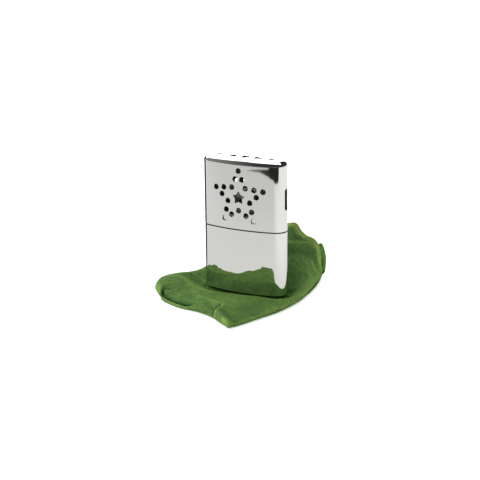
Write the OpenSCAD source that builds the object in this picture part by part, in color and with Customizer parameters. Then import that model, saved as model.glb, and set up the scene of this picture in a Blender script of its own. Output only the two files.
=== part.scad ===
// Pocket catalytic hand warmer standing on its velvet pouch.
// A drawn tank holds fuel-soaked wadding, a burner head slides onto its neck,
// and a perforated cap slides over both. The front, with the star, faces -Y.

/* [Body] */
// Width of the closed warmer
body_w = 65; // [60:0.5:72]
// Thickness of the closed warmer through its middle
body_t = 22; // [20:0.5:25]
// Height of the closed warmer
body_h = 100; // [96:0.5:110]
// Radius of the bowed front and back faces
face_r = 114; // [90:1:150]
// Thickness of the drawn sheet
wall = 0.6; // [0.4:0.05:0.9]
// Height of the tank up to the joint line
seam_h = 48.5; // [45:0.5:52]
// Height of the dark line between cap and tank
seam_gap = 0.4; // [0.2:0.1:0.8]
// Rounding of the cap's upper edge
crown_r = 4; // [2:0.1:5]
// Rounding of the tank's lower edge
foot_r = 2.2; // [1.2:0.1:2.5]

/* [Cap vents] */
// Height of the star's centre above the foot of the tank
star_z = 72.2; // [70:0.1:74]
// Distance from the star's centre to its five outer vents
star_r = 19.7; // [16:0.1:20.5]
// Distance from the star's centre to its five inner vents
star_waist_r = 9.2; // [8:0.1:10]
// Diameter of a round vent
vent_d = 3.9; // [2.5:0.1:4.4]
// Tip radius of the star-shaped vent in the middle
mid_star_r = 4.9; // [3.5:0.1:5.4]
// Radius between its tips, as a part of that
mid_star_waist = 0.57; // [0.4:0.01:0.8]
// Tip radius of the star-shaped vent in the top
top_star_r = 4.6; // [3:0.1:5]
// Length of the triangular vents in the top
top_triangle_l = 8; // [4:0.1:8.5]
// Spacing of the vents along the top
top_pitch = 10.4; // [9.5:0.1:11]
// Height of the slot in each side
side_slot_h = 15.5; // [10:0.5:20]
// Width of the slot in each side
side_slot_w = 3.6; // [2:0.1:4.5]

/* [Tank] */
// Height of the guide collar above the joint line
collar_h = 11; // [9:0.5:12]
// Depth of the guide collar below the joint line
collar_depth = 7; // [4:0.5:12]
// Clearance between the collar and the cap
collar_clear = 0.2; // [0.15:0.05:0.4]
// Rounding of the collar's upper edge
collar_r = 1.5; // [1.2:0.1:2]
// Diameter of the raised pips that grip the cap
pip_d = 2.4; // [1.5:0.1:3.5]
// Distance of the pips from the middle
pip_x = 18; // [8:0.5:20]
// Height of the pips above the joint line
pip_up = 6; // [4:0.5:7]
// Width of the filler neck
neck_w = 22; // [18:0.5:23]
// Depth of the filler neck, front to back
neck_d = 9; // [8:0.5:9.5]
// Height of the filler neck above the deck
neck_h = 7; // [6:0.5:8]
// Width of the flange round the neck
neck_flange = 1.6; // [1:0.1:2]
// Diameter of the holes in the neck's grille
grille_hole_d = 1.6; // [1:0.1:2]

/* [Burner] */
// Width of the burner cage
cage_w = 28; // [27:0.5:32]
// Depth of the burner cage, front to back
cage_d = 13; // [12.5:0.5:14]
// Height of the burner cage
cage_h = 11.5; // [11:0.5:13]
// Clearance of the burner's socket round the neck
socket_clear = 0.1; // [0.06:0.02:0.2]
// Thickness of the burner's sheet
burner_wall = 0.5; // [0.4:0.05:0.6]
// Width of the slit through which vapour rises to the catalyst
vapour_w = 17; // [10:0.5:18]
// Depth of that slit, front to back
vapour_d = 5; // [3:0.5:6]
// Width of the windows in the cage
window_w = 2.1; // [1.5:0.1:2.4]
// Height of the windows in the cage
window_h = 5.6; // [4:0.1:6]
// Diameter of the wires over the catalyst
grid_wire_d = 0.8; // [0.6:0.1:1]

/* [Pouch] */
// Thickness of one layer of the velvet
cloth_t = 1.2; // [0.8:0.1:1.6]
// Height of the arched mouth of the pouch
mouth_h = 40; // [25:1:42]

/* [Hidden] */
$fn = 96;
rest_gap = 0.3;                        // between the foot of the tank and the velvet
foot_z = 2 * cloth_t + rest_gap;       // the tank stands on two layers of velvet
half_w = body_w / 2;
// Each end of the body is a smaller circle, tangent inside to both bowed faces.
face_off = face_r - body_t / 2;        // from the middle plane to a face's axis
end_r = (face_r * face_r - face_off * face_off - half_w * half_w) / (2 * (face_r - half_w));
end_x = half_w - end_r;
face_half_angle = asin(end_x / (face_r - end_r));
cap_z = seam_h + seam_gap;
hair = 0.02;                           // step where the ends meet the faces
seat = 0.02;                           // gap between pieces that are pressed together
deck_z = seam_h + collar_h;            // upper side of the tank's deck
collar_inset = wall + collar_clear;
collar_drop = 0.5;                     // the pressed-in part ends this far below the tank's rim
pip_h = collar_clear / 2;
neck_wall = 0.5;
neck_top = deck_z + neck_h;
wadding_top = deck_z - 2;
wadding_inset = collar_inset + wall + 0.3;
cage_rim = 3;                          // width of the cage's top round its window
cage_z = neck_top - 0.2;
cage_top = cage_z + cage_h;
tray_z = neck_top + burner_wall;
tray_h = 2;
mat_top = cage_top - 2;

// ---- sections and shared shapes ----

// Half section of the body for a revolve, with its outer corners rounded.
module edge_profile(inner, outer, z0, z1, low_r, high_r) {
    translate([inner, z0]) square([outer - max(low_r, high_r) - inner, z1 - z0]);
    translate([inner, z0 + low_r]) square([outer - inner, z1 - z0 - low_r - high_r]);
    if (low_r > 0) translate([outer - low_r, z0 + low_r]) circle(low_r, $fn = 48);
    if (high_r > 0) translate([outer - high_r, z1 - high_r]) circle(high_r, $fn = 48);
}

// The bowed body, set in from its outside: two face sectors and two round ends.
// The ends are a hair smaller than the faces, so that no two surfaces only just touch.
module body_block(inset, z0, z1, low_r = 0, high_r = 0) {
    for (turn = [0, 180]) rotate([0, 0, turn]) {
        translate([0, face_off, 0]) rotate([0, 0, 270 - face_half_angle])
            rotate_extrude(angle = 2 * face_half_angle, $fn = 720)
                edge_profile(face_r - body_t / 2 - 1, face_r - inset, z0, z1, low_r, high_r);
        translate([end_x, 0, 0])
            rotate_extrude()
                edge_profile(0, end_r - inset - hair, z0 + hair, z1 - hair, low_r, high_r);
    }
}

module racetrack(w, d) {
    square([w - d, d], center = true);
    for (side = [-1, 1]) translate([side * (w - d) / 2, 0]) circle(d / 2);
}

module racetrack_tube(w, d, thick, h) {
    linear_extrude(h) difference() {
        racetrack(w, d);
        racetrack(w - 2 * thick, d - 2 * thick);
    }
}

module star(tip_r, waist_r, tip_angle) {
    polygon([for (i = [0:9])
        let (r = i % 2 == 0 ? tip_r : waist_r, a = tip_angle + 36 * i) [r * cos(a), r * sin(a)]]);
}

// A triangle with rounded corners, its tip on +X.
module rounded_triangle(l) {
    corner = 0.6;
    hull() for (p = [[0.6 * l, 0], [-0.4 * l, 0.44 * l], [-0.4 * l, -0.44 * l]])
        translate([p[0] - sign(p[0]) * corner, p[1] - sign(p[1]) * corner]) circle(corner, $fn = 16);
}

// ---- tank ----

tank_shell();
module tank_shell() {
    color("silver") translate([0, 0, foot_z]) difference() {
        body_block(0, 0, seam_h, foot_r, 0);
        body_block(wall, wall, seam_h + 1, foot_r - wall, 0);
    }
}

tank_top();
module tank_top() {
    // An inverted pan: its skirt is pressed into the tank, its upper part guides the cap.
    color("silver") translate([0, 0, foot_z]) difference() {
        union() {
            body_block(collar_inset, seam_h - collar_depth, deck_z, 0, collar_r);
            body_block(wall + seat, seam_h - collar_depth, seam_h - collar_drop);
            intersection() {
                body_block(collar_inset - pip_h, seam_h + pip_up - pip_d, seam_h + pip_up + pip_d);
                for (x = [-pip_x, pip_x]) translate([x, 0, seam_h + pip_up]) rotate([90, 0, 0])
                    cylinder(body_t, d = pip_d, center = true, $fn = 32);
            }
        }
        body_block(collar_inset + wall, seam_h - collar_depth - 1, deck_z - wall, 0, collar_r - wall);
        translate([0, 0, deck_z - 2]) linear_extrude(4)
            racetrack(neck_w + 2 * seat, neck_d + 2 * seat);
    }
}

filler_neck();
module filler_neck() {
    color("silver") translate([0, 0, foot_z]) {
        translate([0, 0, deck_z - 1.6]) racetrack_tube(neck_w, neck_d, neck_wall, neck_h + 1.6);
        translate([0, 0, deck_z]) racetrack_tube(neck_w + 2 * neck_flange, neck_d + 2 * neck_flange,
            neck_flange + neck_wall / 2, 0.6);
    }
}

neck_grille();
module neck_grille() {
    w = neck_w - 2 * neck_wall - 2 * seat;
    d = neck_d - 2 * neck_wall - 2 * seat;
    color("gainsboro") translate([0, 0, foot_z + neck_top - 1]) linear_extrude(0.5) difference() {
        racetrack(w, d);
        for (row = [-1:1], i = [-3:3]) if (row == 0 || abs(i) < 3)
            translate([2.5 * i, 2.3 * row]) circle(d = grille_hole_d, $fn = 24);
    }
}

wick_felt();
module wick_felt() {
    w = neck_w - 2 * neck_wall - 2 * seat;
    d = neck_d - 2 * neck_wall - 2 * seat;
    color("ivory") translate([0, 0, foot_z + wadding_top])
        linear_extrude(neck_top - 1 - wadding_top) racetrack(w, d);
}

cotton_wadding();
module cotton_wadding() {
    color("white") translate([0, 0, foot_z])
        body_block(wadding_inset, wall + seat, wadding_top, 2, 2);
}

// ---- burner ----

burner_socket();
module burner_socket() {
    inner_w = neck_w + 2 * socket_clear;
    inner_d = neck_d + 2 * socket_clear;
    color("silver") translate([0, 0, foot_z]) difference() {
        union() {
            translate([0, 0, deck_z + 0.9]) racetrack_tube(inner_w + 2 * burner_wall,
                inner_d + 2 * burner_wall, burner_wall, neck_top - deck_z - 0.9);
            translate([0, 0, neck_top]) linear_extrude(burner_wall) difference() {
                racetrack(cage_w - 2 * burner_wall - 2 * seat, cage_d - 2 * burner_wall - 2 * seat);
                racetrack(vapour_w, vapour_d);
            }
        }
        // The skirt is slotted so that it springs onto the neck.
        for (x = [-5, 5]) translate([x - 0.4, -neck_d, deck_z]) cube([0.8, 2 * neck_d, neck_h - 2]);
    }
}

mat_tray();
module mat_tray() {
    color("silver") translate([0, 0, foot_z + tray_z]) difference() {
        linear_extrude(tray_h) racetrack(cage_w - 2, cage_d - 2);
        translate([0, 0, 0.4]) linear_extrude(tray_h) racetrack(cage_w - 2.8, cage_d - 2.8);
        for (row = [-1, 1], i = [-3:3]) translate([2.3 * i, 1.2 * row, -1])
            cylinder(3, d = 1.5, $fn = 24);
    }
}

burner_cage();
module burner_cage() {
    color("silver") translate([0, 0, foot_z]) difference() {
        translate([0, 0, cage_z]) linear_extrude(cage_h) racetrack(cage_w, cage_d);
        translate([0, 0, cage_z - 1]) linear_extrude(cage_h + 1 - burner_wall)
            racetrack(cage_w - 2 * burner_wall, cage_d - 2 * burner_wall);
        translate([0, 0, cage_top - 2]) linear_extrude(4)
            racetrack(cage_w - 2 * cage_rim, cage_d - 2 * cage_rim);
        for (i = [-3:3]) translate([2.9 * i - window_w / 2, -cage_d, cage_z + 3.2])
            cube([window_w, 2 * cage_d, window_h]);
        for (y = [-2.4, 2.4]) translate([-cage_w, y - window_w / 2, cage_z + 3.2])
            cube([2 * cage_w, window_w, window_h]);
    }
}

catalyst_mat();
module catalyst_mat() {
    z0 = tray_z + 0.4;
    color("dimgray") translate([0, 0, foot_z + z0])
        linear_extrude(mat_top - z0) racetrack(cage_w - 3, cage_d - 3);
}

retainer_grid();
module retainer_grid() {
    // Long wires under the cage's top, with thinner cross wires let into them.
    z = cage_top - burner_wall - grid_wire_d / 2 - seat;
    reach = cage_rim / 4;
    window_x = cage_w - 2 * cage_rim;
    window_y = cage_d - 2 * cage_rim;
    color("silver") translate([0, 0, foot_z + z]) {
        for (y = [-window_y / 4, window_y / 4]) translate([0, y, 0]) rotate([0, 90, 0])
            cylinder(window_x + 2 * reach, d = grid_wire_d, center = true, $fn = 24);
        for (i = [-2:2]) translate([i * window_x / 5.5, 0, -0.2 * grid_wire_d]) rotate([90, 0, 0])
            cylinder(window_y + 2 * reach, d = grid_wire_d * 0.9, center = true, $fn = 24);
    }
}

// ---- cap ----

function star_corner(i) = let (r = i % 2 == 0 ? star_r : star_waist_r, a = 90 + 36 * i)
    [r * cos(a), star_z + r * sin(a)];

cap_shell();
module cap_shell() {
    color("silver") translate([0, 0, foot_z]) difference() {
        body_block(0, cap_z, body_h, 0, crown_r);
        body_block(wall, cap_z - 1, body_h - wall, 0, crown_r - wall);
        // Round vents along the outline of a star, through front and back.
        for (i = [0:9]) {
            face_vent(star_corner(i));
            face_vent((star_corner(i) + star_corner(i + 1)) / 2);
        }
        translate([0, 0, star_z]) rotate([90, 0, 0]) linear_extrude(body_t + 4, center = true)
            star(mid_star_r, mid_star_r * mid_star_waist, 90);
        // One row of vents through the top.
        translate([0, 0, body_h - 2]) {
            linear_extrude(4) star(top_star_r, top_star_r / 2, -90);
            for (side = [0, 180]) rotate([0, 0, side]) {
                translate([top_pitch, 0, 0]) linear_extrude(4) rounded_triangle(top_triangle_l);
                translate([2 * top_pitch, 0, 0]) cylinder(4, d = vent_d, $fn = 48);
            }
        }
        for (side = [-1, 1]) translate([side * half_w, 0, star_z]) rotate([0, 90, 0])
            linear_extrude(6, center = true) racetrack(side_slot_h, side_slot_w);
    }
}

module face_vent(p) {
    translate([p[0], 0, p[1]]) rotate([90, 0, 0])
        cylinder(body_t + 4, d = vent_d, center = true, $fn = 48);
}

// ---- pouch ----

// Plan of the limp bag: the closed end, then both sides from there to the mouth.
closed_edge = [[-64, -25], [-58, -33], [-47, -43], [-36, -48], [-26, -51], [-10, -54], [3, -59],
    [12, -65], [24, -73]];
right_edge = [[24, -73], [29, -64], [35, -46], [41, -28], [44, -5], [42.4, 15], [39.8, 29],
    [37.2, 45], [35, 62]];
left_edge = [[-64, -25], [-66.8, -18], [-64.5, -11.5], [-59, -4.5], [-54.8, 4], [-54.2, 16],
    [-53.6, 28], [-53, 42], [-52, 58]];
// The upper layer at the mouth, as x, y and height in fortieths of mouth_h.
mouth_arch = [[-52, 58, 0], [-50, 57, 6], [-42, 56, 13], [-32, 54, 18], [-20, 52, 24], [-8, 50, 31],
    [3, 49, 37.5], [11, 49, 41], [16.5, 50, 41.5], [19, 53, 36.5], [23, 55, 31], [27.5, 57, 30],
    [28.8, 59, 25], [30, 60.5, 14], [35, 62, 0]];
// How far each station from the closed end to the mouth is lifted towards that arch.
lift = [0, 0, 0, 0, 0, 0, 0.35, 0.8, 1];
cols = 14;
rows = 16;

function along(list, s) = let (k = s * (len(list) - 1), i = min(floor(k), len(list) - 2), f = k - i)
    list[i] * (1 - f) + list[i + 1] * f;
function mouth_line(t) = left_edge[8] * (1 - t) + right_edge[8] * t;
function flat_xy(t, v) =
    (1 - v) * along(closed_edge, t) + v * mouth_line(t)
    + (1 - t) * along(left_edge, v) + t * along(right_edge, v)
    - (1 - v) * ((1 - t) * left_edge[0] + t * right_edge[0]) - v * mouth_line(t);
function mid_cloth(j, i) =
    let (t = j / cols, v = i / rows, up = along(lift, v), a = along(mouth_arch, t),
        m = mouth_line(t), p = flat_xy(t, v))
    [p[0] + up * (a[0] - m[0]), p[1] + up * (a[1] - m[1]), 1.5 * cloth_t + up * a[2] * mouth_h / 40];
function cloth_normal(j, i) =
    let (n = cross(mid_cloth(min(j + 1, cols), i) - mid_cloth(max(j - 1, 0), i),
        mid_cloth(j, min(i + 1, rows)) - mid_cloth(j, max(i - 1, 0))))
    n / norm(n);
function cloth_point(j, i, side) =
    let (p = mid_cloth(j, i) + cloth_normal(j, i) * side * cloth_t / 2)
    [p[0], p[1], max(p[2], cloth_t)];
function quad(a, b, c, d) = [[a, b, c], [a, c, d]];

pouch_lower_panel();
module pouch_lower_panel() {
    color("darkgreen") linear_extrude(cloth_t) polygon(concat(
        closed_edge,
        [for (i = [1:8]) right_edge[i]],
        [for (i = [8:-1:1]) left_edge[i]]));
}

pouch_upper_panel();
module pouch_upper_panel() {
    n = (cols + 1) * (rows + 1);
    outer = [for (i = [0:rows], j = [0:cols]) cloth_point(j, i, 1)];
    inner = [for (i = [0:rows], j = [0:cols]) cloth_point(j, i, -1)];
    function id(j, i) = i * (cols + 1) + j;
    faces = concat(
        [for (i = [0:rows - 1], j = [0:cols - 1])
            each quad(id(j, i), id(j, i + 1), id(j + 1, i + 1), id(j + 1, i))],
        [for (i = [0:rows - 1], j = [0:cols - 1])
            each quad(n + id(j, i), n + id(j + 1, i), n + id(j + 1, i + 1), n + id(j, i + 1))],
        [for (j = [0:cols - 1]) each quad(id(j, 0), id(j + 1, 0), n + id(j + 1, 0), n + id(j, 0))],
        [for (j = [0:cols - 1])
            each quad(id(j + 1, rows), id(j, rows), n + id(j, rows), n + id(j + 1, rows))],
        [for (i = [0:rows - 1]) each quad(id(0, i + 1), id(0, i), n + id(0, i), n + id(0, i + 1))],
        [for (i = [0:rows - 1])
            each quad(id(cols, i), id(cols, i + 1), n + id(cols, i + 1), n + id(cols, i))]);
    color("seagreen") polyhedron(concat(outer, inner), faces, convexity = 6);
}
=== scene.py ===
"""Looks of the pocket hand warmer: chromed cap and tank, the burner inside, and the velvet pouch.

Lengths are written in millimetres and turned into metres when a mesh is made. The row frame has
its origin on the floor below the warmer, +Z up and -Y towards the front of the warmer.
"""

import math

import bpy
import numpy as np
from mathutils import Matrix, Vector, noise
from mathutils.bvhtree import BVHTree
from mathutils.geometry import delaunay_2d_cdt

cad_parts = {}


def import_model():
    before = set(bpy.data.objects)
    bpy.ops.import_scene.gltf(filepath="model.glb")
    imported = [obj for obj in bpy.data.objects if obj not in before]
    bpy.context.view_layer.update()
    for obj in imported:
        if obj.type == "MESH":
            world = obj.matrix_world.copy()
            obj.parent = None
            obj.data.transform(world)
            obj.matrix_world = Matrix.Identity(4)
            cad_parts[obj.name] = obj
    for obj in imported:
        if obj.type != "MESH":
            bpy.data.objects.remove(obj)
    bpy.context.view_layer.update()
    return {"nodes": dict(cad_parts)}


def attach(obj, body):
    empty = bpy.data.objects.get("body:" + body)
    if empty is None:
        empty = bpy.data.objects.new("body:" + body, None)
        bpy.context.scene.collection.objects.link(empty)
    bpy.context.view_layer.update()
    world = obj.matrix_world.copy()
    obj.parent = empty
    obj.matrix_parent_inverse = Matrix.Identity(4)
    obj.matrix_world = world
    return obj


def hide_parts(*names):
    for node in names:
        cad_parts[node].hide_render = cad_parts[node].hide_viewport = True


MM = 0.001

# ---- sizes, the same as in the part's source ----
BODY_W, BODY_T, BODY_H = 65.0, 22.0, 100.0
FACE_R = 114.0  # bow of the front and back
WALL = 0.6
SEAM_H, SEAM_GAP = 48.5, 0.4
CROWN_R, FOOT_R = 4.0, 2.2
STAR_Z, STAR_R, STAR_WAIST_R = 72.2, 19.7, 9.2
VENT_D = 3.9
MID_STAR_R, TOP_STAR_R = 4.9, 4.6
MID_WAIST = 0.57  # waist of the middle star as a part of its tip radius
TOP_TRIANGLE_L, TOP_PITCH = 8.0, 10.4
SIDE_SLOT_H, SIDE_SLOT_W = 15.5, 3.6
COLLAR_H, COLLAR_CLEAR, COLLAR_R = 11.0, 0.2, 1.5
PIP_D, PIP_X, PIP_UP, PIP_RISE = 2.4, 18.0, 6.0, 0.1
NECK_W, NECK_D = 22.0, 9.0
CLOTH_T = 1.2
REST_GAP = 0.3
FOOT_Z = 2 * CLOTH_T + REST_GAP  # the tank's foot above the floor
EDGE, TOP_EDGE = 0.28, 0.06  # soft lip round each punched vent, in the wall and in the top
RIM_R = 0.3  # rounding of both rims at the seam
FOOT_STEPS, FOOT_BRIGHT = 12, 2  # steps round the tank's foot, how many are bright; the rest painted shade
FACE_STEP, END_STEP = 1.0, 0.45  # mesh spacing round the body, on the faces and the round ends
GRID_STEP = 2.0  # mesh spacing up the wall and over flat sheets


def clamp01(x):
    return np.clip(x, 0.0, 1.0)


def smooth(x):
    x = clamp01(x)
    return x * x * (3 - 2 * x)


def fade(x, start, end):
    """0 up to start and 1 from end on, smooth between; end may be the lower of the two."""
    return smooth((x - start) / (end - start))


def bell(x, width):
    """1 where x is 0, falling off smoothly to both sides over about width."""
    return np.exp(-((x / width) ** 2))


# ---- the bowed outline of cap and tank ----

HALF_W = BODY_W / 2
FACE_OFF = FACE_R - BODY_T / 2
END_R = (FACE_R**2 - FACE_OFF**2 - HALF_W**2) / (2 * (FACE_R - HALF_W))
END_X = HALF_W - END_R
FACE_HALF = math.asin(END_X / (FACE_R - END_R))
FACE_LEN = 2 * FACE_HALF * FACE_R
END_LEN = (math.pi - 2 * FACE_HALF) * END_R
ROUND_LEN = 2 * (FACE_LEN + END_LEN)


def outline(s, inset=0.0):
    """Point and outward normal at length s round the body, from the front's left edge."""
    s = s % ROUND_LEN
    back = s >= FACE_LEN + END_LEN
    if back:
        s -= FACE_LEN + END_LEN
    if s < FACE_LEN:
        a = s / FACE_R - FACE_HALF
        n = np.array([math.sin(a), -math.cos(a)])
        p = np.array([0.0, FACE_OFF]) + (FACE_R - inset) * n
    else:
        a = (s - FACE_LEN) / END_R - (math.pi / 2 - FACE_HALF)
        n = np.array([math.cos(a), math.sin(a)])
        p = np.array([END_X, 0.0]) + (END_R - inset) * n
    return (-p, -n) if back else (p, n)


def face_s(x, back=False):
    """Length round the outline of the point at x on the front or back face."""
    if back:
        return FACE_LEN * 1.5 + END_LEN - FACE_R * math.asin(x / FACE_R)
    return FACE_LEN / 2 + FACE_R * math.asin(x / FACE_R)


def round_loop(centre, radius, count=28):
    return [
        (centre[0] + radius * math.cos(2 * math.pi * k / count),
         centre[1] + radius * math.sin(2 * math.pi * k / count))
        for k in range(count)
    ]


def rounded_polygon(corners, radius, steps=4):
    """Closed loop round the corners, each rounded off by about radius."""
    loop, n = [], len(corners)
    for k in range(n):
        p = np.array(corners[k])
        a, b = np.array(corners[k - 1]) - p, np.array(corners[(k + 1) % n]) - p
        a, b = a / np.linalg.norm(a), b / np.linalg.norm(b)
        half = math.acos(float(np.clip(a @ b, -1, 1))) / 2
        reach = radius / math.tan(half)
        start, end = p + a * reach, p + b * reach
        for q in range(steps + 1):
            f = q / steps
            loop.append(tuple((1 - f) ** 2 * start + 2 * f * (1 - f) * p + f * f * end))
    return loop


def star_corners(tip_r, waist_r, tip_angle, centre=(0, 0)):
    found = []
    for k in range(10):
        r, a = (tip_r if k % 2 == 0 else waist_r), math.radians(tip_angle + 36 * k)
        found.append((centre[0] + r * math.cos(a), centre[1] + r * math.sin(a)))
    return found


def grow(loop, by):
    """The closed loop moved outward by a small distance."""
    pts = np.array(loop)
    ahead, behind = np.roll(pts, -1, 0), np.roll(pts, 1, 0)
    along = ahead - behind
    out = np.stack([along[:, 1], -along[:, 0]], 1)
    out /= np.linalg.norm(out, axis=1, keepdims=True)
    area = 0.5 * np.sum(pts[:, 0] * ahead[:, 1] - ahead[:, 0] * pts[:, 1])
    return [tuple(p) for p in pts + out * by * (1 if area > 0 else -1)]


def inside(loop, points):
    """Which of the points lie in the closed loop."""
    pts, loop = np.asarray(points, float), np.asarray(loop, float)
    hit = np.zeros(len(pts), bool)
    for (x0, y0), (x1, y1) in zip(np.roll(loop, 1, 0), loop):
        if y0 == y1:
            continue
        crossed = (y0 > pts[:, 1]) != (y1 > pts[:, 1])
        hit ^= crossed & (pts[:, 0] < (x1 - x0) * (pts[:, 1] - y0) / (y1 - y0) + x0)
    return hit


def in_any(holes, points, spare=0.0):
    """Which of the points lie in one of the holes, or closer to it than spare."""
    pts = np.asarray(points, float)
    found = np.zeros(len(pts), bool)
    for hole in holes:
        low, high = np.min(hole, 0) - spare, np.max(hole, 0) + spare
        near = np.flatnonzero(np.all((pts > low) & (pts < high), axis=1))
        if len(near):
            found[near] |= inside(grow(hole, spare) if spare else hole, pts[near])
    return found


def pierced_sheet(border, holes, grid):
    """Triangles that fill a closed border, with holes left open. Returns points and triangles."""
    pts, edges = [], []
    for loop in [border] + holes:
        first = len(pts)
        pts += loop
        edges += [(first + k, first + (k + 1) % len(loop)) for k in range(len(loop))]
    grid = np.array(grid, float)
    pts += [tuple(g) for g in grid[~in_any(holes, grid, 0.3)]]
    made = delaunay_2d_cdt([Vector(p) for p in pts], edges, [], 0, 1e-7)
    verts = [tuple(v) for v in made[0]]
    flat, faces = np.array(verts), [tuple(f) for f in made[2]]
    centres = np.array([flat[list(f)].mean(0) for f in faces])
    keep = inside(border, centres) & ~in_any(holes, centres)
    return verts, [f for f, k in zip(faces, keep) if k]


# ---- mesh helpers ----


class Sheet:
    """Gathers points, normals and faces of one mesh, in millimetres."""

    def __init__(self):
        self.points, self.normals, self.faces, self.marks = [], [], [], []

    def add(self, points, normals, faces, mark=0):
        first = len(self.points)
        self.points += [tuple(p) for p in points]
        self.normals += [tuple(n) for n in normals]
        self.faces += [tuple(first + k for k in f) for f in faces]
        self.marks += [mark] * len(faces)

    def strip(self, low, high, n_low, n_high, mark=0, closed=True):
        """Quads between two rows of equally many points."""
        n = len(low)
        count = n if closed else n - 1
        faces = [(k, (k + 1) % n, n + (k + 1) % n, n + k) for k in range(count)]
        self.add(list(low) + list(high), list(n_low) + list(n_high), faces, mark)

    def strips(self, rows, mark=0, side=1):
        """Quads between rows of points and normals; side is -1 where the normals turn inward."""
        for low, high in zip(rows, rows[1:]):
            self.strip(low[0], high[0], side * np.array(low[1]), side * np.array(high[1]), mark)

    def make(self, name, materials):
        mesh = bpy.data.meshes.new(name)
        pts = np.array(self.points, float) * MM
        normals = np.array(self.normals, float)
        faces = []
        for f in self.faces:
            p = pts[list(f)]
            turn = np.cross(p[1] - p[0], p[2] - p[0])
            faces.append(f if turn @ normals[list(f)].sum(0) >= 0 else f[::-1])
        mesh.from_pydata(pts.tolist(), [], faces)
        for m in materials:
            mesh.materials.append(m)
        mesh.polygons.foreach_set("material_index", self.marks)
        mesh.polygons.foreach_set("use_smooth", [True] * len(faces))
        mesh.update()
        mesh.normals_split_custom_set_from_vertices(normals.tolist())
        made = bpy.data.objects.new(name, mesh)
        bpy.context.scene.collection.objects.link(made)
        return made


def around():
    """Lengths round the outline, closer together at the round ends."""
    found = []
    for first, length, size in (
        (0, FACE_LEN, FACE_STEP), (FACE_LEN, END_LEN, END_STEP),
        (FACE_LEN + END_LEN, FACE_LEN, FACE_STEP), (2 * FACE_LEN + END_LEN, END_LEN, END_STEP),
    ):
        n = max(2, round(length / size))
        found += [first + length * k / n for k in range(n)]
    return found


ROUND = around()


def wall_point(s, z, inset=0.0):
    p, _ = outline(s, inset)
    return (p[0], p[1], z)


def wall_normal(s):
    _, n = outline(s)
    return (n[0], n[1], 0.0)


def ring(z, inset, tilt=0.0):
    """One row of points round the body, and normals tilted up by tilt radians."""
    pts, normals = [], []
    for s in ROUND:
        p, n = outline(s, inset)
        pts.append((p[0], p[1], z))
        normals.append((n[0] * math.cos(tilt), n[1] * math.cos(tilt), math.sin(tilt)))
    return pts, normals


def edge_rows(inset, z_edge, radius, up, steps=10):
    """Rows of a rounded edge, from the wall to the flat."""
    rows = []
    for k in range(steps + 1):
        a = math.pi / 2 * k / steps
        z = z_edge - up * radius * (1 - math.sin(a))
        rows.append(ring(z, inset + radius * (1 - math.cos(a)), up * a))
    return rows


def cap_vents(grown=0.0):
    """Loops of the vents in the cap's wall, as length round the body and height."""
    loops = []
    corner = star_corners(STAR_R, STAR_WAIST_R, 90, (0, STAR_Z))
    spots = corner + [tuple((np.array(corner[k]) + corner[(k + 1) % 10]) / 2) for k in range(10)]
    middle = rounded_polygon(star_corners(MID_STAR_R, MID_STAR_R * MID_WAIST, 90, (0, STAR_Z)), 0.3, 2)
    for back in (False, True):
        for x, z in spots:
            loop = round_loop((x, z), VENT_D / 2 + grown)
            loops.append([(face_s(p[0], back), p[1]) for p in loop])
        loop = grow(middle, grown) if grown else middle
        loops.append([(face_s(p[0], back), p[1]) for p in loop])
    for centre in (FACE_LEN + END_LEN / 2, 2 * FACE_LEN + 1.5 * END_LEN):
        loop, r, count = [], SIDE_SLOT_W / 2 + grown, 24
        for k in range(count):
            a = 2 * math.pi * (k + 0.5) / count
            lift = (SIDE_SLOT_H - SIDE_SLOT_W) / 2 * (1 if math.sin(a) > 0 else -1)
            x = r * math.cos(a)
            loop.append((centre + END_R * math.asin(x / END_R), STAR_Z + lift + r * math.sin(a)))
        loops.append(loop)
    return loops


def top_vents(grown=0.0):
    """Loops of the vents in the cap's flat top, seen from above."""
    loops = [rounded_polygon(star_corners(TOP_STAR_R, TOP_STAR_R / 2, -90), 0.25, 2)]
    for side in (1, -1):
        tri = [(0.6, 0.0), (-0.4, 0.44), (-0.4, -0.44)]
        tri = [(side * (TOP_PITCH + TOP_TRIANGLE_L * p[0]), TOP_TRIANGLE_L * p[1]) for p in tri]
        loops.append(rounded_polygon(tri, 0.55))
    loops = [grow(h, grown) if grown else h for h in loops]
    return loops + [round_loop((side * 2 * TOP_PITCH, 0), VENT_D / 2 + grown) for side in (1, -1)]


def wall_sheet(z_low, z_high, holes):
    """The wall between two heights, laid out flat as length round the body and height."""
    border = [(s, z_low) for s in ROUND] + [(ROUND_LEN, z_low)]
    border += [(ROUND_LEN, z_high)] + [(s, z_high) for s in reversed(ROUND)]
    rows = max(2, round((z_high - z_low) / GRID_STEP))
    grid = [
        (s, z_low + (z_high - z_low) * k / rows) for k in range(1, rows) for s in ROUND[1:]
    ]
    return pierced_sheet(border, holes, grid)


def flat_sheet(inset, holes):
    """A level sheet inside the body's outline, its grid kept clear of the border on all sides."""
    border = [tuple(outline(s, inset)[0]) for s in ROUND]
    across = np.arange(-HALF_W + inset + 1, HALF_W - inset - 0.5, GRID_STEP)
    deep = np.arange(-BODY_T / 2, BODY_T / 2, GRID_STEP)
    grid = np.array([(x, y) for x in across for y in deep])
    clear = 0.7
    for shift in ((-clear, 0), (clear, 0), (0, -clear), (0, clear)):
        grid = grid[inside(border, grid + shift)]
    return pierced_sheet(border, holes, grid)


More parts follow.
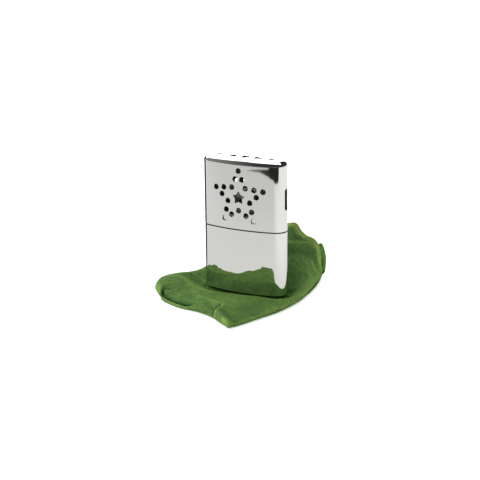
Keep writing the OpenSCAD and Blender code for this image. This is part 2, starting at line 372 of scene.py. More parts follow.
def lips(sheet, wide, tight, place, facing, mark, edge=EDGE):
    """Soft lip and cut edge of each vent: from the surface, over a small round, and inward.

    place(p, depth) puts a loop point at a depth under the surface, facing(p) is the normal."""
    for outer, inner in zip(wide, tight):
        centre = np.mean(inner, 0)
        rows, steps = [], 4
        for k in range(steps + 1):
            a = math.pi / 2 * k / steps
            f = math.sin(a)
            pts = [(1 - f) * np.array(o) + f * np.array(i) for o, i in zip(outer, inner)]
            n3 = []
            for p in pts:
                inward = np.array(place(centre, 0)) - np.array(place(p, 0))
                inward /= np.linalg.norm(inward) or 1
                n = math.cos(a) * np.array(facing(p)) + math.sin(a) * inward
                n3.append(tuple(n / np.linalg.norm(n)))
            rows.append(([place(p, edge * (1 - math.cos(a))) for p in pts], n3))
        sheet.strips(rows, mark)
        # The cut wall takes the next material; on the cap it is painted dark, the shade inside each vent.
        last = rows[-1]
        deep = [place(p, WALL) for p in inner]
        sheet.strip(last[0], deep, last[1], last[1], mark + 1)


def cap_outer(chrome, cut_edge, vent_shade_and_seam_dark):
    """The cap's chromed outside with crown, flat top and punched vents, their cut walls painted as shade.
    """
    sheet = Sheet()
    wide, tight = cap_vents(EDGE), cap_vents()
    z0, z1 = SEAM_H + SEAM_GAP, BODY_H - CROWN_R
    verts, faces = wall_sheet(z0 + RIM_R, z1, wide)
    sheet.add([wall_point(s, z + FOOT_Z) for s, z in verts], [wall_normal(s) for s, z in verts], faces)
    lips(
        sheet, wide, tight,
        lambda p, d: wall_point(p[0], p[1] + FOOT_Z, d), lambda p: wall_normal(p[0]), 1,
    )
    sheet.strips(edge_rows(0.0, BODY_H + FOOT_Z, CROWN_R, 1))
    wide, tight = top_vents(TOP_EDGE), top_vents()
    verts, faces = flat_sheet(CROWN_R, wide)
    up = (0.0, 0.0, 1.0)
    sheet.add([(x, y, BODY_H + FOOT_Z) for x, y in verts], [up] * len(verts), faces)
    lips(
        sheet, wide, tight, lambda p, d: (p[0], p[1], BODY_H + FOOT_Z - d), lambda p: up, 1, TOP_EDGE,
    )
    # The lower rim, slightly rounded.
    rows = edge_rows(0.0, z0 + FOOT_Z, RIM_R, -1, 4)
    rows.append(ring(z0 + FOOT_Z, WALL, -math.pi / 2))
    sheet.strips(rows, 2)
    return sheet.make("cap_outer", [chrome, cut_edge, vent_shade_and_seam_dark])


def cap_lining(dull):
    """The cap's unplated inside."""
    sheet = Sheet()
    z0, z1 = SEAM_H + SEAM_GAP, BODY_H - CROWN_R
    verts, faces = wall_sheet(z0, z1, cap_vents())
    sheet.add(
        [wall_point(s, z + FOOT_Z, WALL) for s, z in verts],
        [tuple(-np.array(wall_normal(s))) for s, z in verts], faces,
    )
    sheet.strips(edge_rows(WALL, BODY_H - WALL + FOOT_Z, CROWN_R - WALL, 1), side=-1)
    verts, faces = flat_sheet(CROWN_R, top_vents())
    sheet.add(
        [(x, y, BODY_H - WALL + FOOT_Z) for x, y in verts], [(0.0, 0.0, -1.0)] * len(verts), faces
    )
    return sheet.make("cap_lining", [dull])


def tank_can(chrome, rim):
    """The tank's chromed outside: wall, rounded foot, flat base and open rim."""
    sheet = Sheet()
    verts, faces = wall_sheet(FOOT_R, SEAM_H - RIM_R, [])
    sheet.add([wall_point(s, z + FOOT_Z) for s, z in verts], [wall_normal(s) for s, z in verts], faces)
    rows = edge_rows(0.0, FOOT_Z, FOOT_R, -1, FOOT_STEPS)
    # The foot's lower steps and its flat base are painted shade of the contact line under the tank.
    sheet.strips(rows[: FOOT_BRIGHT + 1])
    sheet.strips(rows[FOOT_BRIGHT:], 1)
    verts, faces = flat_sheet(FOOT_R, [])
    sheet.add([(x, y, FOOT_Z) for x, y in verts], [(0.0, 0.0, -1.0)] * len(verts), faces, 1)
    rows = edge_rows(0.0, SEAM_H + FOOT_Z, RIM_R, 1, 4)
    rows.append(ring(SEAM_H + FOOT_Z, WALL, math.pi / 2))
    sheet.strips(rows, 1)
    pts, normals = ring(SEAM_H + FOOT_Z, WALL)
    deep, _ = ring(SEAM_H - 1.5 + FOOT_Z, WALL)
    normals = [tuple(-np.array(n)) for n in normals]
    sheet.strip(pts, deep, normals, normals, 1)
    return sheet.make("tank_can", [chrome, rim])


def tank_collar(chrome, deck):
    """The guide collar that the cap slides over, with its deck and four grip pips."""
    sheet = Sheet()
    inset = WALL + COLLAR_CLEAR
    top = SEAM_H + COLLAR_H
    verts, faces = wall_sheet(SEAM_H - 1.2, top - COLLAR_R, [])
    pts, normals = [], []
    for s, z in verts:
        p, n = outline(s, inset)
        bump = 0.0
        for x in (-PIP_X, PIP_X):
            d = math.hypot(p[0] - x, z - SEAM_H - PIP_UP)
            bump += PIP_RISE * smooth(1.4 - d / PIP_D * 2)
        pts.append((p[0] + n[0] * bump, p[1] + n[1] * bump, z + FOOT_Z))
        normals.append((n[0], n[1], 0.0))
    sheet.add(pts, normals, faces)
    sheet.strips(edge_rows(inset, top + FOOT_Z, COLLAR_R, 1))
    # The neck's opening in the deck, straight with round ends.
    d, w = NECK_D / 2 + 0.02, (NECK_W - NECK_D) / 2
    hole, count = [], 40
    for k in range(count):
        a = 2 * math.pi * (k + 0.5) / count
        hole.append((w * (1 if math.cos(a) > 0 else -1) + d * math.cos(a), d * math.sin(a)))
    verts, faces = flat_sheet(inset + COLLAR_R, [hole])
    sheet.add([(x, y, top + FOOT_Z) for x, y in verts], [(0.0, 0.0, 1.0)] * len(verts), faces, 1)
    return sheet.make("tank_collar", [chrome, deck])


# ---- the velvet pouch ----

# Its outline on the floor, in x and y: the closed end, then the right and left sides up to the mouth.
CLOSED_EDGE = [(-63.2, -25), (-57, -31.8), (-46.6, -42), (-36, -47.6), (-26, -50.8), (-10, -54),
               (3, -59), (12, -65), (24, -73)]
RIGHT_EDGE = [(24, -73), (29, -64), (35, -46), (41, -28), (44, -5), (43.6, 10), (42, 26),
              (39.4, 44), (35, 62)]
LEFT_EDGE = [(-63.2, -25), (-64.6, -19), (-62.4, -12.6), (-59.2, -6.4), (-56, -1), (-54.5, 6),
             (-54, 18), (-53, 36), (-52, 58)]
# Height of the cloth just inside those edges.
CLOSED_H = [7.4, 8.8, 8.4, 6.8, 6.4, 7.8, 9.6, 9.2, 3.8]
RIGHT_H = [3.8, 3.5, 3.3, 5.0, 10.5, 16.0, 18.0, 16.0, 13.0]
LEFT_H = [7.4, 8.4, 9.8, 9.8, 9.2, 7.6, 5.6, 4.4, 3.0]
# The rims of the mouth, from its left seam to its right: x, y and height.
UPPER_RIM = [(-52, 58, 2), (-50, 57, 7), (-42, 56, 14), (-32, 54, 19), (-20, 52, 25), (-8, 50, 32),
             (3, 49, 39.5), (11, 49, 42.4), (16.2, 50, 42.8), (19.2, 52, 37.2), (22.8, 54, 33.2),
             (27, 56.5, 31), (30.4, 58, 26.4), (31.8, 59, 19), (32, 60, 11), (33.6, 62, 4)]
LOWER_RIM = [(-52, 58, 2), (-45, 60, 0.3), (-35, 62, 0.3), (-20, 62, 0.3), (-5, 63, 0.3),
             (8, 64, 0.6), (18, 65, 4), (24, 65, 13), (27.6, 64, 21), (29.8, 63.5, 24.8),
             (31.6, 63.5, 22.8), (33.4, 64, 15.6), (33.6, 63.5, 9), (33.6, 62, 4)]
FLAT_Z = 2.5  # top of the two layers where the warmer stands
LOW_Z = 0.15  # underside of the lower layer
LEAST_H, MOST_H = 3.0, 20.0  # limits of the height between the edges
SEAM_Z, SEAM_WAVE = 2.6, 0.35  # height of the sewn edge above the floor, and how much it varies
EDGE_W = 3.2  # how far in from the sewn edge the cloth is rounded
EDGE_HIGH, EDGE_MORE = 7.0, 0.12  # above this height it is rounded further in, by this share
# The sewn roll along the front left side: width, height of its two sides and of its middle above
# them, and the widths of the steep and the gentle rise of the cloth behind it.
ROLL_W, ROLL_Z, ROLL_H = 2.3, 0.7, 1.6
ROLL_BANK, ROLL_SLOPE = 2.2, 10.0
# The warmer's foot on the cloth: half its straight length, half its depth, and how far from it the
# cloth is held down.
FOOT_HALF_X, FOOT_HALF_Y, FOOT_REACH = 24.0, 10.5, 17.0
VELVET_T = 0.9  # thickness of one layer with its pile

# Creases and ridges of the flat part: points on the cloth, half width, height, and how much painted
# light (above 0) or painted shade (below 0) is put on the velvet there.
FOLDS = [
    ([(-49.4, -39.4), (-48, -37), (-46.8, -36.1), (-44.2, -35.6)], 0.65, -0.9, -1.8),
    ([(-53, -39.5), (-53, -35), (-51, -31)], 1.6, 0.9, 0.3),
    ([(-46.2, -40.5), (-44.6, -38.6), (-42.4, -37)], 1.1, 0.6, 0.3),
    ([(-53, -16), (-41, -19), (-30, -28), (-15.8, -40.4), (-6, -45), (3.7, -50), (9, -53)], 2.0, 1.0, 0.6),
    ([(-47, 0.3), (-43.3, 2.2), (-38, 3.4)], 1.5, 1.2, 0.8),
    ([(-47, -9.6), (-41, -6), (-34, -3)], 3.0, -0.6, -0.6),
    ([(-42, -2), (-35, -12), (-27, -20)], 3.6, -0.5, -0.3),
    ([(-4, -52), (2, -56), (5.4, -58.8)], 2.0, -1.6, -0.8),
    ([(7.8, -53.6), (7.6, -57.0), (6.6, -59.4), (4.6, -61.4)], 1.1, -1.0, -2.0),
    ([(10.4, -54.0), (10.3, -58), (9.4, -60.6), (7.2, -62)], 0.8, 0.9, 1.7),
    ([(18, -68.5), (21, -70.5), (25, -71.6)], 1.4, 1.3, 0.8),
    ([(14, -61), (20, -65), (27, -66)], 1.5, -1.0, -0.4),
    ([(35.4, 8.2), (30, 9.5)], 2.4, -1.2, -0.7),
    ([(36, -38), (38, -20), (37, -6)], 3.0, 0.4, 0.2),
]
# The same for the raised part, as x, y before it is lifted.
RAISED_FOLDS = [
    ([(2, 50), (8, 55), (12, 57)], 3.2, -0.8, -0.8),
    ([(0, 40), (7, 46), (14, 50), (24, 53)], 2.2, 1.4, 1.0),
    ([(12, 38), (20, 43), (27, 48)], 6.0, -1.8, -0.9),
    ([(22, 14), (29, 24), (33, 33)], 1.2, 0.4, 0.7),
    ([(-30, 30), (-26, 44), (-24, 58)], 3.0, 1.8, 0.3),
    ([(-42, 34), (-38, 46), (-38, 58)], 3.0, -1.6, -0.3),
]


def along(points, t):
    """Point on a smooth line through the points, t from 0 to 1."""
    pts = np.array(points, float)
    n = len(pts) - 1
    t = np.clip(np.asarray(t, float), 0, 1) * n
    i = np.minimum(t.astype(int), n - 1)
    f = (t - i)[..., None] if pts.ndim > 1 else t - i
    p0, p1, p2, p3 = (pts[np.clip(i + k, 0, n)] for k in (-1, 0, 1, 2))
    return 0.5 * (
        2 * p1 + (p2 - p0) * f + (2 * p0 - 5 * p1 + 4 * p2 - p3) * f**2
        + (3 * p1 - p0 - 3 * p2 + p3) * f**3
    )


def path_distance(points, path):
    """Distance of each point on the floor from a path of short straight stretches."""
    best = np.full(points.shape[:-1], 1e9)
    for a, b in zip(path, path[1:]):
        ab = b - a
        f = clamp01(((points - a) @ ab) / max(ab @ ab, 1e-9))
        best = np.minimum(best, np.linalg.norm(points - a - f[..., None] * ab, axis=-1))
    return best


def fold_maps(points, folds):
    """What the folds add to the height of the cloth, and the painted light and shade they put on it."""
    height, painted_light_and_shade = np.zeros(points.shape[:-1]), np.zeros(points.shape[:-1])
    for line, width, rise, light in folds:
        path = along(line, np.linspace(0, 1, 8 * len(line)))
        near = bell(path_distance(points, path), width)
        height += rise * near
        painted_light_and_shade += light * near
    return height, painted_light_and_shade


def floor_patch(t, v):
    """Point on the floor inside the pouch's outline."""
    t_, v_ = t[..., None], v[..., None]
    corners = (1 - t_) * np.array(LEFT_EDGE[0]) + t_ * np.array(RIGHT_EDGE[0])
    sides = (1 - t_) * along(LEFT_EDGE, v) + t_ * along(RIGHT_EDGE, v)
    return sides + (1 - v_) * (along(CLOSED_EDGE, t) - corners)


def mouth_chord(t):
    """Point on the straight line between the two ends of the mouth, on the floor."""
    return (1 - t)[..., None] * np.array(LEFT_EDGE[-1]) + t[..., None] * np.array(RIGHT_EDGE[-1])


def ripple(points, scale, seed):
    """Smooth noise between -1 and 1 at each point."""
    flat = points.reshape(-1, points.shape[-1])
    if flat.shape[1] == 2:
        flat = np.hstack([flat, np.zeros((len(flat), 1))])
    shift = Vector((seed * 17.3, seed * 5.1, seed * 9.7))
    values = [noise.noise(Vector(p) / scale + shift) for p in flat]
    return np.array(values).reshape(points.shape[:-1])


def cloth_height(t, v):
    """Height of the cloth inside the outline, carried from edge to edge like the floor patch."""
    corners = (1 - t) * CLOSED_H[0] + t * CLOSED_H[-1]
    sides = (1 - t) * along(LEFT_H, v) + t * along(RIGHT_H, v)
    return np.clip(sides + (1 - v) * (along(CLOSED_H, t) - corners), LEAST_H, MOST_H)


def edge_gap(points):
    """Distance of each point on the floor from the pouch's sewn edges."""
    even = np.linspace(0, 1, 90)
    edges = (LEFT_EDGE[::-1], CLOSED_EDGE, RIGHT_EDGE)
    return path_distance(points, np.vstack([along(edge, even) for edge in edges]))


def with_roll(t, v, gap, top_z, seam, painted_light_and_shade):
    """Adds the sewn roll along the front left side, and the groove between it and the cloth."""
    here = fade(t, 0.62, 0.52) * fade(v, 0.4, 0.3) * fade(t, 0.212, 0.234)
    steep = 0.72 + 0.2 * fade(t, 0.3, 0.22)
    bank = np.sqrt(1 - (1 - clamp01((gap - ROLL_W) / ROLL_BANK)) ** 2)
    past = steep * bank + (1 - steep) * smooth((gap - ROLL_W) / ROLL_SLOPE)
    hump = np.sqrt(np.maximum(1 - ((gap - ROLL_W / 2) / (ROLL_W / 2)) ** 2, 0))
    rolled = ROLL_Z + np.where(gap < ROLL_W, ROLL_H * hump, (top_z - ROLL_Z) * past)
    groove = bell(gap - ROLL_W - 0.1, 0.45)
    # Painted light on the sewn roll and painted shade in the groove behind it.
    painted_light_and_shade = painted_light_and_shade + here * ((1.5 * hump - 0.2) * (gap < ROLL_W) - 2.0 * groove)
    return top_z + (rolled - top_z) * here, seam + (ROLL_Z - seam) * here, painted_light_and_shade


def pouch_skins(cols, rows):
    """Upper and lower skin of the pouch as grids, t across the bag and v from front to mouth."""
    even = np.linspace(0, 1, cols + 1)
    t, v = np.meshgrid(  # closer together at both sides and at the front
        even - 0.09 * np.sin(2 * math.pi * even), np.linspace(0, 1, rows + 1) ** 1.12
    )
    flat = floor_patch(t, v)
    gap = edge_gap(flat)
    # How far each point is from the warmer's foot.
    beside = np.maximum(np.abs(flat[..., 0]) - FOOT_HALF_X, 0)
    off = np.hypot(beside, np.abs(flat[..., 1])) - FOOT_HALF_Y
    free = smooth(off / FOOT_REACH)

    height = cloth_height(t, v)
    rise, painted_light_and_shade = fold_maps(flat, FOLDS)
    top_z = FLAT_Z + (height - FLAT_Z) * free
    top_z -= 1.3 * bell(off + 1.0, 1.2)  # pressed in under the foot's rim
    top_z += (rise + 0.4 * ripple(flat, 9.0, 1)) * free
    # Painted sheen, lighter along the sewn edge, and painted shade round the warmer's foot.
    edge = bell(gap, 1.2 + 1.2 * fade(t, 0.8, 1.0))
    painted_light_and_shade += edge * (0.3 + 0.5 * fade(t, 0.2, 0.1) + 0.6 * fade(t, 0.86, 0.96))
    painted_light_and_shade -= 0.9 * bell(off + 0.2, 2.2)

    edge_w = EDGE_W + EDGE_MORE * np.maximum(height - EDGE_HIGH, 0)
    round_off = np.sqrt(1 - (1 - clamp01(gap / edge_w)) ** 2)
    seam = SEAM_Z + SEAM_WAVE * ripple(flat, 5.0, 2)
    top_z = seam + (top_z - seam) * round_off
    top_z, seam, painted_light_and_shade = with_roll(t, v, gap, top_z, seam, painted_light_and_shade)
    top = np.dstack([flat, top_z])
    low = np.dstack([flat, LOW_Z + (seam - LOW_Z) * (1 - round_off)])

    # The upper skin rises to its rim, and the lower one curls up later, at the right.
    start = 0.57 - 0.12 * fade(t, 0.6, 1.0)
    lifted = fade(v, start, 1.0) ** 1.15
    curled = lifted * fade(v, 0.72, 1.0)
    for skin, rim, lift in ((top, UPPER_RIM, lifted), (low, LOWER_RIM, curled)):
        goal = along(rim, t)
        skin[..., :2] += lift[..., None] * (goal[..., :2] - mouth_chord(t))
        skin[..., 2] = skin[..., 2] * (1 - lift) + lift * goal[..., 2]
    return t, v, flat, gap, lifted, top, low, painted_light_and_shade


def grid_normals(grid):
    n = np.cross(np.gradient(grid, axis=1), np.gradient(grid, axis=0))
    return n / np.maximum(np.linalg.norm(n, axis=-1, keepdims=True), 1e-9)


def keep_inside(low, top, faces, share, spare):
    """Moves the lower skin into the bag where it would come through the upper one."""
    tree = BVHTree.FromPolygons(top.reshape(-1, 3).tolist(), faces)
    points, share, spare = low.reshape(-1, 3), share.ravel(), spare.ravel()
    for k in np.flatnonzero(share > 0):
        place = Vector(points[k])
        where, normal, _, _ = tree.find_nearest(place)
        over = (place - where).dot(normal) + spare[k]
        if over > 0:
            points[k] -= share[k] * over * np.array(normal)


def grid_faces(cols, rows):
    """Quads of a grid of points that is stored row by row."""
    corner = [i * (cols + 1) + j for i in range(rows) for j in range(cols)]
    return [(a, a + 1, a + cols + 2, a + cols + 1) for a in corner]


def pouch(velvet, inside_shade, cols=210, rows=230):
    """The bag: two skins joined along the sewn edges and open at the mouth, with a thickness."""
    t, v, flat, gap, lifted, top, low, painted_light_and_shade = pouch_skins(cols, rows)
    rise, light = fold_maps(flat, RAISED_FOLDS)
    raised = lifted**0.5
    # Painted light and shade of the raised folds, and a painted sheen band along the mouth's hem.
    painted_light_and_shade += light * raised + 2.3 * bell(v - 0.972, 0.022)
    hem = 0.9 * bell(v - 0.985, 0.012)
    push = rise * raised + 0.3 * ripple(top, 8.0, 3) * lifted + hem
    fuzz = 0.10 * ripple(top, 1.6, 4) + 0.12 * ripple(top, 3.2, 5)
    out = grid_normals(top)
    out *= np.where(out[..., 2:] < 0, -1, 1)
    top = top + out * (push + fuzz * smooth(gap + 0.2))[..., None]

    quads = grid_faces(cols, rows)
    share = fade(v, 0.985, 0.945) * ((v > 0.66) & (t > 0.66) & (gap > 0.4))
    keep_inside(low, top, quads, share, 1.9 * smooth(gap / 4))
    points = np.vstack([top.reshape(-1, 3), low.reshape(-1, 3)]) * MM
    n = (rows + 1) * (cols + 1)
    faces = quads + [tuple(n + k for k in reversed(q)) for q in quads]
    mesh = bpy.data.meshes.new("pouch")
    mesh.from_pydata(points.tolist(), [], faces)
    mesh.materials.append(velvet)
    mesh.materials.append(inside_shade)
    mesh.polygons.foreach_set("use_smooth", [True] * len(faces))
    shade = mesh.attributes.new("painted_light_and_shade", "FLOAT", "POINT")
    lip = 3.0 * fade(v, 0.958, 0.972)  # painted sheen on the lower layer, along its rim only
    shade.data.foreach_set("value", np.concatenate([painted_light_and_shade.ravel(), lip.ravel()]).astype("f"))
    made = bpy.data.objects.new("pouch", mesh)
    bpy.context.scene.collection.objects.link(made)
    weld = made.modifiers.new("seams", "WELD")
    weld.merge_threshold = 0.05 * MM
    thick = made.modifiers.new("thickness", "SOLIDIFY")
    thick.thickness, thick.offset, thick.material_offset = VELVET_T * MM, -1, 1
    return made


# ---- materials ----


def new_material(name):
    m = bpy.data.materials.new(name)
    m.use_nodes = True
    nodes = m.node_tree.nodes
    return m, nodes, m.node_tree.links, nodes["Principled BSDF"]


def object_noise(nodes, links, scale, detail=2.0, stretch=(1, 1, 1)):
    """Noise factor in object space, with the scale in waves per metre."""
    where = nodes.new("ShaderNodeTexCoord")
    place = nodes.new("ShaderNodeMapping")
    place.inputs["Scale"].default_value = stretch
    tex = nodes.new("ShaderNodeTexNoise")
    tex.inputs["Scale"].default_value = scale
    tex.inputs["Detail"].default_value = detail
    links.new(where.outputs["Object"], place.inputs["Vector"])
    links.new(place.outputs["Vector"], tex.inputs["Vector"])
    return tex.outputs["Fac"]


def scaled(nodes, links, value, factor, offset):
    """value times factor, plus offset."""
    node = nodes.new("ShaderNodeMath")
    node.operation = "MULTIPLY_ADD"
    links.new(value, node.inputs[0])
    node.inputs[1].default_value, node.inputs[2].default_value = factor, offset
    return node.outputs["Value"]


def added(nodes, links, first, second):
    node = nodes.new("ShaderNodeMath")
    links.new(first, node.inputs[0])
    links.new(second, node.inputs[1])
    return node.outputs["Value"]


def add_bump(nodes, links, shader, height, strength, distance):
    bump = nodes.new("ShaderNodeBump")
    bump.inputs["Strength"].default_value = strength
    bump.inputs["Distance"].default_value = distance
    links.new(height, bump.inputs["Height"])
    links.new(bump.outputs["Normal"], shader.inputs["Normal"])


def mottled(nodes, links, shader, colour, spread, scale, stretch):
    """Base colour that varies by a share of itself."""
    ramp = nodes.new("ShaderNodeValToRGB")
    for stop, place, factor in zip(ramp.color_ramp.elements, (0.3, 0.7), (1 - spread, 1 + spread)):
        stop.position = place
        stop.color = (*[min(1.0, c * factor) for c in colour], 1)
    links.new(object_noise(nodes, links, scale, 4, stretch), ramp.inputs["Fac"])
    links.new(ramp.outputs["Color"], shader.inputs["Base Color"])


def metal(name, colour, rough, spread=0.1, wave=0.00002, scale=400, stretch=(1, 1, 1)):
    """Metal with handling marks: uneven colour and polish, and a fine grain or waviness."""
    m, nodes, links, shader = new_material(name)
    shader.inputs["Metallic"].default_value = 1.0
    mottled(nodes, links, shader, colour, spread, scale / 4, stretch)
    rubbed = object_noise(nodes, links, scale / 3, 5, stretch)
    links.new(scaled(nodes, links, rubbed, 1.2 * rough, 0.4 * rough), shader.inputs["Roughness"])
    add_bump(nodes, links, shader, object_noise(nodes, links, scale, 3, stretch), 1.0, wave)
    return m


def matt(name, colour, rough=0.9, spread=0.0, wave=0.0, scale=400, stretch=(1, 1, 1)):
    """Matt material, plain where spread is 0 and otherwise uneven in colour, with a grain."""
    m, nodes, links, shader = new_material(name)
    shader.inputs["Base Color"].default_value = (*colour, 1)
    shader.inputs["Roughness"].default_value = rough
    if spread:
        mottled(nodes, links, shader, colour, spread, scale / 2, stretch)
        add_bump(nodes, links, shader, object_noise(nodes, links, scale, 5, stretch), 1.0, wave)
    return m


# The velvet's tone, from painted shade to painted sheen and highlight, and its tufts: waves per metre,
# detail and share in the tone.
VELVET_TONES = [
    (0.10, (0.018, 0.048, 0.016)), (0.38, (0.050, 0.110, 0.030)), (0.56, (0.078, 0.152, 0.040)),
    (0.76, (0.135, 0.225, 0.052)), (1.00, (0.240, 0.340, 0.075)),
]
VELVET_TUFTS = [(330, 3, 0.55), (1500, 3, 0.5), (70, 2, 0.35)]


def velvet_material(name, level):
    """Velvet with a nap; level is how light it is overall: 0.5 on the bag's outside, low as painted shade.
    """
    m, nodes, links, shader = new_material(name)
    shader.inputs["Roughness"].default_value = 1.0
    shader.inputs["Specular IOR Level"].default_value = 0.1
    shader.inputs["Sheen Weight"].default_value = 0.75
    shader.inputs["Sheen Roughness"].default_value = 0.3
    shader.inputs["Sheen Tint"].default_value = (0.46, 0.78, 0.13, 1)
    # Painted light and shade from the mesh, plus the velvet's own uneven tone: tufts, strands and broad
    # patches.
    painted_light_and_shade = nodes.new("ShaderNodeAttribute")
    painted_light_and_shade.attribute_name = "painted_light_and_shade"
    total = scaled(nodes, links, painted_light_and_shade.outputs["Fac"], 0.2, level)
    for scale, detail, share in VELVET_TUFTS:
        tufts = object_noise(nodes, links, scale, detail)
        total = added(nodes, links, total, scaled(nodes, links, tufts, share, -share / 2))
    ramp = nodes.new("ShaderNodeValToRGB")
    stops = ramp.color_ramp.elements
    for stop, (place, colour) in zip(stops, (VELVET_TONES[0], VELVET_TONES[-1])):
        stop.position, stop.color = place, (*colour, 1)
    for place, colour in VELVET_TONES[1:-1]:
        stops.new(place).color = (*colour, 1)
    links.new(total, ramp.inputs["Fac"])
    links.new(ramp.outputs["Color"], shader.inputs["Base Color"])
    add_bump(nodes, links, shader, object_noise(nodes, links, 1100, 4), 0.8, 0.0006)
    return m


# ---- stage ----


# The camera, fitted to the photo: angles in degrees, its distance from the point it aims at, that
# point's place to the side of the warmer's middle and above its foot, and the lens.
CAMERA_AZ, CAMERA_EL, CAMERA_ROLL = 28.37, 16.53, -0.64
CAMERA_FAR, AIM_SIDE, AIM_UP = 963.1, -4.43, 38.33
CAMERA_LENS, CAMERA_SENSOR = 99.9, 36


def camera():
    az, el, roll = (math.radians(a) for a in (CAMERA_AZ, CAMERA_EL, CAMERA_ROLL))
    back = Vector((math.sin(az) * math.cos(el), -math.cos(az) * math.cos(el), math.sin(el)))
    level = Vector((math.cos(az), math.sin(az), 0))
    upright = back.cross(level)
    right = level * math.cos(roll) + upright * math.sin(roll)
    up = -level * math.sin(roll) + upright * math.cos(roll)
    aim = (level * AIM_SIDE + Vector((0, 0, AIM_UP + FOOT_Z))) * MM
    data = bpy.data.cameras.new("camera")
    data.lens, data.sensor_width = CAMERA_LENS, CAMERA_SENSOR
    data.clip_start, data.clip_end = 0.01, 50
    made = bpy.data.objects.new("camera", data)
    turn = Matrix((right, up, back)).transposed().to_4x4()
    made.matrix_world = Matrix.Translation(aim + back * CAMERA_FAR * MM) @ turn
    bpy.context.scene.collection.objects.link(made)
    bpy.context.scene.camera = made


def card(name, corners, material):
    """A flat piece of the stage."""
    mesh = bpy.data.meshes.new(name)
    mesh.from_pydata([[c * MM for c in p] for p in corners], [], [range(len(corners))])
    mesh.materials.append(material)
    made = bpy.data.objects.new(name, mesh)
    bpy.context.scene.collection.objects.link(made)
    return made


def flat_card(name, corners, z, material):
    return card(name, [(x, y, z) for x, y in corners], material)


# Parts of the room: direction, cosine where each starts and is full, and brightness.
SOFT_LIGHTS = [
    ((-1.0, 0.0, 0.0), 0.15, 0.85, 0.25),
    ((-0.7085, 0.2697, 0.652), 0.81, 0.83, 2.2),
    ((-0.455, 0.843, 0.284), 0.90, 0.96, 2.4),
    ((0.0, 0.0, 1.0), 0.87, 0.895, 2.2),
    ((0.59, -0.03, 0.80), 0.975, 0.985, 2.6),
]
ROOM_DARK = 0.035

# A dark room beyond the near edge of the white paper, and a dark flag at the left.
DARK_ROOM = [(-2500, -2500), (-2500, -425), (-90, -420), (4, -424), (-8, -411), (-57, -404),
             (-105, -392), (-140, -376), (-105, -386), (-81, -390), (-55, -393), (-36, -389),
             (-6, -380), (17, -368), (68, -358), (183, -318), (258, -267), (311, -223),
             (389, -250), (2500, -1600), (2500, -2500)]
DARK_FLAG = [(-35, 3), (-60, 0), (-600, -12), (-600, 600), (-290, 600), (-36, 30)]
# An upright dark card at the far left, and the heights at which the level ones lie.
LEFT_CARD = [(-500, 0, 0), (-500, 340, 0), (-500, 340, 250), (-500, 0, 250)]
PAPER_Z, DARK_Z = 0.1, 0.6
FLOOR_HALF = 6000
FLOOR_GLOW = 0.5  # keeps the shadows faint
# The white paper as the chrome sees it: brightness near the warmer, and what is added towards
# the right and taken off towards the far front left.
PAPER_LIGHT, PAPER_RIGHT, PAPER_FAR = 0.86, 0.20, -0.13


def seen_in_chrome_only(made):
    made.visible_camera = False
    made.visible_diffuse = False
    made.visible_shadow = False
    made.visible_transmission = False


def glow(name, colour):
    m = bpy.data.materials.new(name)
    m.use_nodes = True
    nodes = m.node_tree.nodes
    nodes.remove(nodes["Principled BSDF"])
    shine = nodes.new("ShaderNodeEmission")
    shine.inputs["Color"].default_value = (*colour, 1)
    m.node_tree.links.new(shine.outputs["Emission"], nodes["Material Output"].inputs["Surface"])
    return m


def eased(nodes, links, value, start, end, low, high):
    """low where the value is at start, high where it is at end, smooth between."""
    ramp = nodes.new("ShaderNodeMapRange")
    ramp.interpolation_type = "SMOOTHSTEP"
    for name, limit in (("From Min", start), ("From Max", end), ("To Min", low), ("To Max", high)):
        ramp.inputs[name].default_value = limit
    links.new(value, ramp.inputs["Value"])
    return ramp.outputs["Result"]


def paper_light():
    """Soft falloff of the light over the paper, as the chrome sees it."""
    m = glow("paper_light", (1, 1, 0.985))
    nodes, links = m.node_tree.nodes, m.node_tree.links
    where, axes = nodes.new("ShaderNodeTexCoord"), nodes.new("ShaderNodeSeparateXYZ")
    links.new(where.outputs["Object"], axes.inputs["Vector"])
    x, y = axes.outputs["X"], axes.outputs["Y"]
    right = eased(nodes, links, x, 0.01, 0.16, PAPER_LIGHT, PAPER_LIGHT + PAPER_RIGHT)
    far = eased(nodes, links, y, -0.08, -0.36, 0.0, PAPER_FAR)
    links.new(added(nodes, links, right, far), nodes["Emission"].inputs["Strength"])
    return m


def paper_and_flags():
    """The white floor, and the cards that only the chrome reflects."""
    far = FLOOR_HALF
    whole = [(-far, -far), (far, -far), (far, far), (-far, far)]
    white = matt("floor_white", (0.9, 0.9, 0.9))
    shader = white.node_tree.nodes["Principled BSDF"]
    shader.inputs["Emission Color"].default_value = (1, 1, 1, 1)
    shader.inputs["Emission Strength"].default_value = FLOOR_GLOW
    floor = flat_card("floor", whole, 0, white)
    floor.visible_glossy = False
    left_dark, room_dark = glow("left_dark", (0.02, 0.02, 0.018)), glow("dark", (0.022, 0.022, 0.018))
    for made in (
        flat_card("paper_light", whole, PAPER_Z, paper_light()),
        card("left_card", LEFT_CARD, left_dark),
        flat_card("dark_room", DARK_ROOM, DARK_Z, room_dark),
        flat_card("dark_flag", DARK_FLAG, DARK_Z, glow("flag", (0.03, 0.03, 0.028))),
    ):
        seen_in_chrome_only(made)


def soft_lamp(name, size, power, place, aim=None):
    """An area light that the chrome doesn't reflect; it shines straight down without an aim."""
    data = bpy.data.lights.new(name, "AREA")
    data.size, data.energy = size, power
    made = bpy.data.objects.new(name, data)
    made.location = place
    if aim:
        made.rotation_euler = (Vector(aim) - made.location).to_track_quat("-Z", "Y").to_euler()
    made.visible_glossy = False
    bpy.context.scene.collection.objects.link(made)


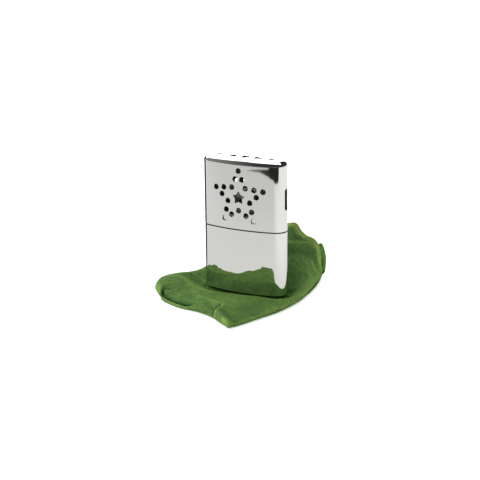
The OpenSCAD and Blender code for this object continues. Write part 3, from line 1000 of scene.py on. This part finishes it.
def world():
    """A soft studio: bright to the back left and overhead, dark in front and to the right."""
    w = bpy.data.worlds.new("studio")
    bpy.context.scene.world = w
    w.use_nodes = True
    nodes, links = w.node_tree.nodes, w.node_tree.links
    sky = nodes["Background"]
    where = nodes.new("ShaderNodeTexCoord")
    most = None
    for aim, low, high, bright in SOFT_LIGHTS:
        dot = nodes.new("ShaderNodeVectorMath")
        dot.operation = "DOT_PRODUCT"
        dot.inputs[1].default_value = aim
        links.new(where.outputs["Generated"], dot.inputs[0])
        part = eased(nodes, links, dot.outputs["Value"], low, high, ROOM_DARK, bright)
        if most is None:
            most = part
            continue
        pick = nodes.new("ShaderNodeMath")
        pick.operation = "MAXIMUM"
        links.new(most, pick.inputs[0])
        links.new(part, pick.inputs[1])
        most = pick.outputs["Value"]
    links.new(most, sky.inputs["Strength"])
    sky.inputs["Color"].default_value = (1, 1, 1, 1)


def dress_inner_parts(nodes):
    """Materials of the CAD's own nodes, which are shown as they are inside the cap and tank."""
    steel = metal("burner_steel", (0.30, 0.28, 0.25), 0.46, 0.12, 0.00001, 300)
    brass = metal("neck_metal", (0.42, 0.41, 0.38), 0.28, 0.12, 0.00002, 500, (1, 1, 6))
    wire = metal("wire", (0.40, 0.38, 0.34), 0.3, 0.2, 0.00002, 900)
    felt = matt("wick_felt", (0.62, 0.60, 0.54), 0.95, 0.14, 0.0003, 1400, (1, 1, 3))
    wool = matt("cotton", (0.80, 0.79, 0.75), 1.0, 0.08, 0.0012, 260)
    mat = matt("catalyst_mat", (0.42, 0.41, 0.39), 0.9, 0.35, 0.0005, 900, (1, 4, 1))
    looks = {
        "filler_neck": brass, "neck_grille": wire, "wick_felt": felt, "cotton_wadding": wool,
        "burner_socket": steel, "mat_tray": steel, "burner_cage": steel, "catalyst_mat": mat,
        "retainer_grid": wire,
    }
    for name, node in nodes.items():
        node.data.materials.clear()
        node.data.materials.append(looks.get(name, steel))


def main():
    bpy.context.scene.view_settings.view_transform = "Standard"
    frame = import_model()
    chrome = metal("chrome", (0.73, 0.735, 0.715), 0.03, 0.012, 0.0000015, 90)
    cut_edge = metal("cut_edge", (0.62, 0.62, 0.60), 0.12)
    # Dark seam at the tank's rim, also painted shade on the foot's lower steps and base.
    rim = metal("dark_seam_and_foot_shade", (0.12, 0.12, 0.11), 0.3)
    # Painted shade inside the vents' cut walls; the cap's lower rim shares this dark as the seam's dark
    # joint.
    vent_shade_and_seam_dark = metal("vent_shade_and_seam_dark", (0.07, 0.065, 0.055), 0.5, 0.3)
    deck = metal("deck", (0.30, 0.28, 0.24), 0.4, 0.2, 0.00002, 500, (1, 8, 1))
    dull = metal("dull_inside", (0.26, 0.22, 0.17), 0.5, 0.3, 0.00003, 300)
    # The bag's inside is painted near black, the shade within the bag.
    velvet, inside_shade = velvet_material("green_velvet", 0.5), velvet_material("velvet_inside_shade", 0.06)
    for made, body, slot, nodes in (
        (cap_outer(chrome, cut_edge, vent_shade_and_seam_dark), "cap", "case_chrome", ["cap_shell"]),
        (cap_lining(dull), "cap", "case_chrome", []),
        (tank_can(chrome, rim), "tank", "case_chrome", ["tank_shell"]),
        (tank_collar(chrome, deck), "tank", "case_chrome", ["tank_top"]),
        (pouch(velvet, inside_shade), "pouch", "velvet", ["pouch_lower_panel", "pouch_upper_panel"]),
    ):
        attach(made, body)
        if nodes:
            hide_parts(*nodes)
    dress_inner_parts(frame["nodes"])
    paper_and_flags()
    soft_lamp("side_lamp", 0.5, 0.6, (0.55, 0.05, 0.5))  # brightens the paper at the right
    soft_lamp("front_fill", 1.2, 12, (-0.5, -1.3, 1.0), (0, 0, 0.03))  # over the camera's left
    world()
    camera()


main()
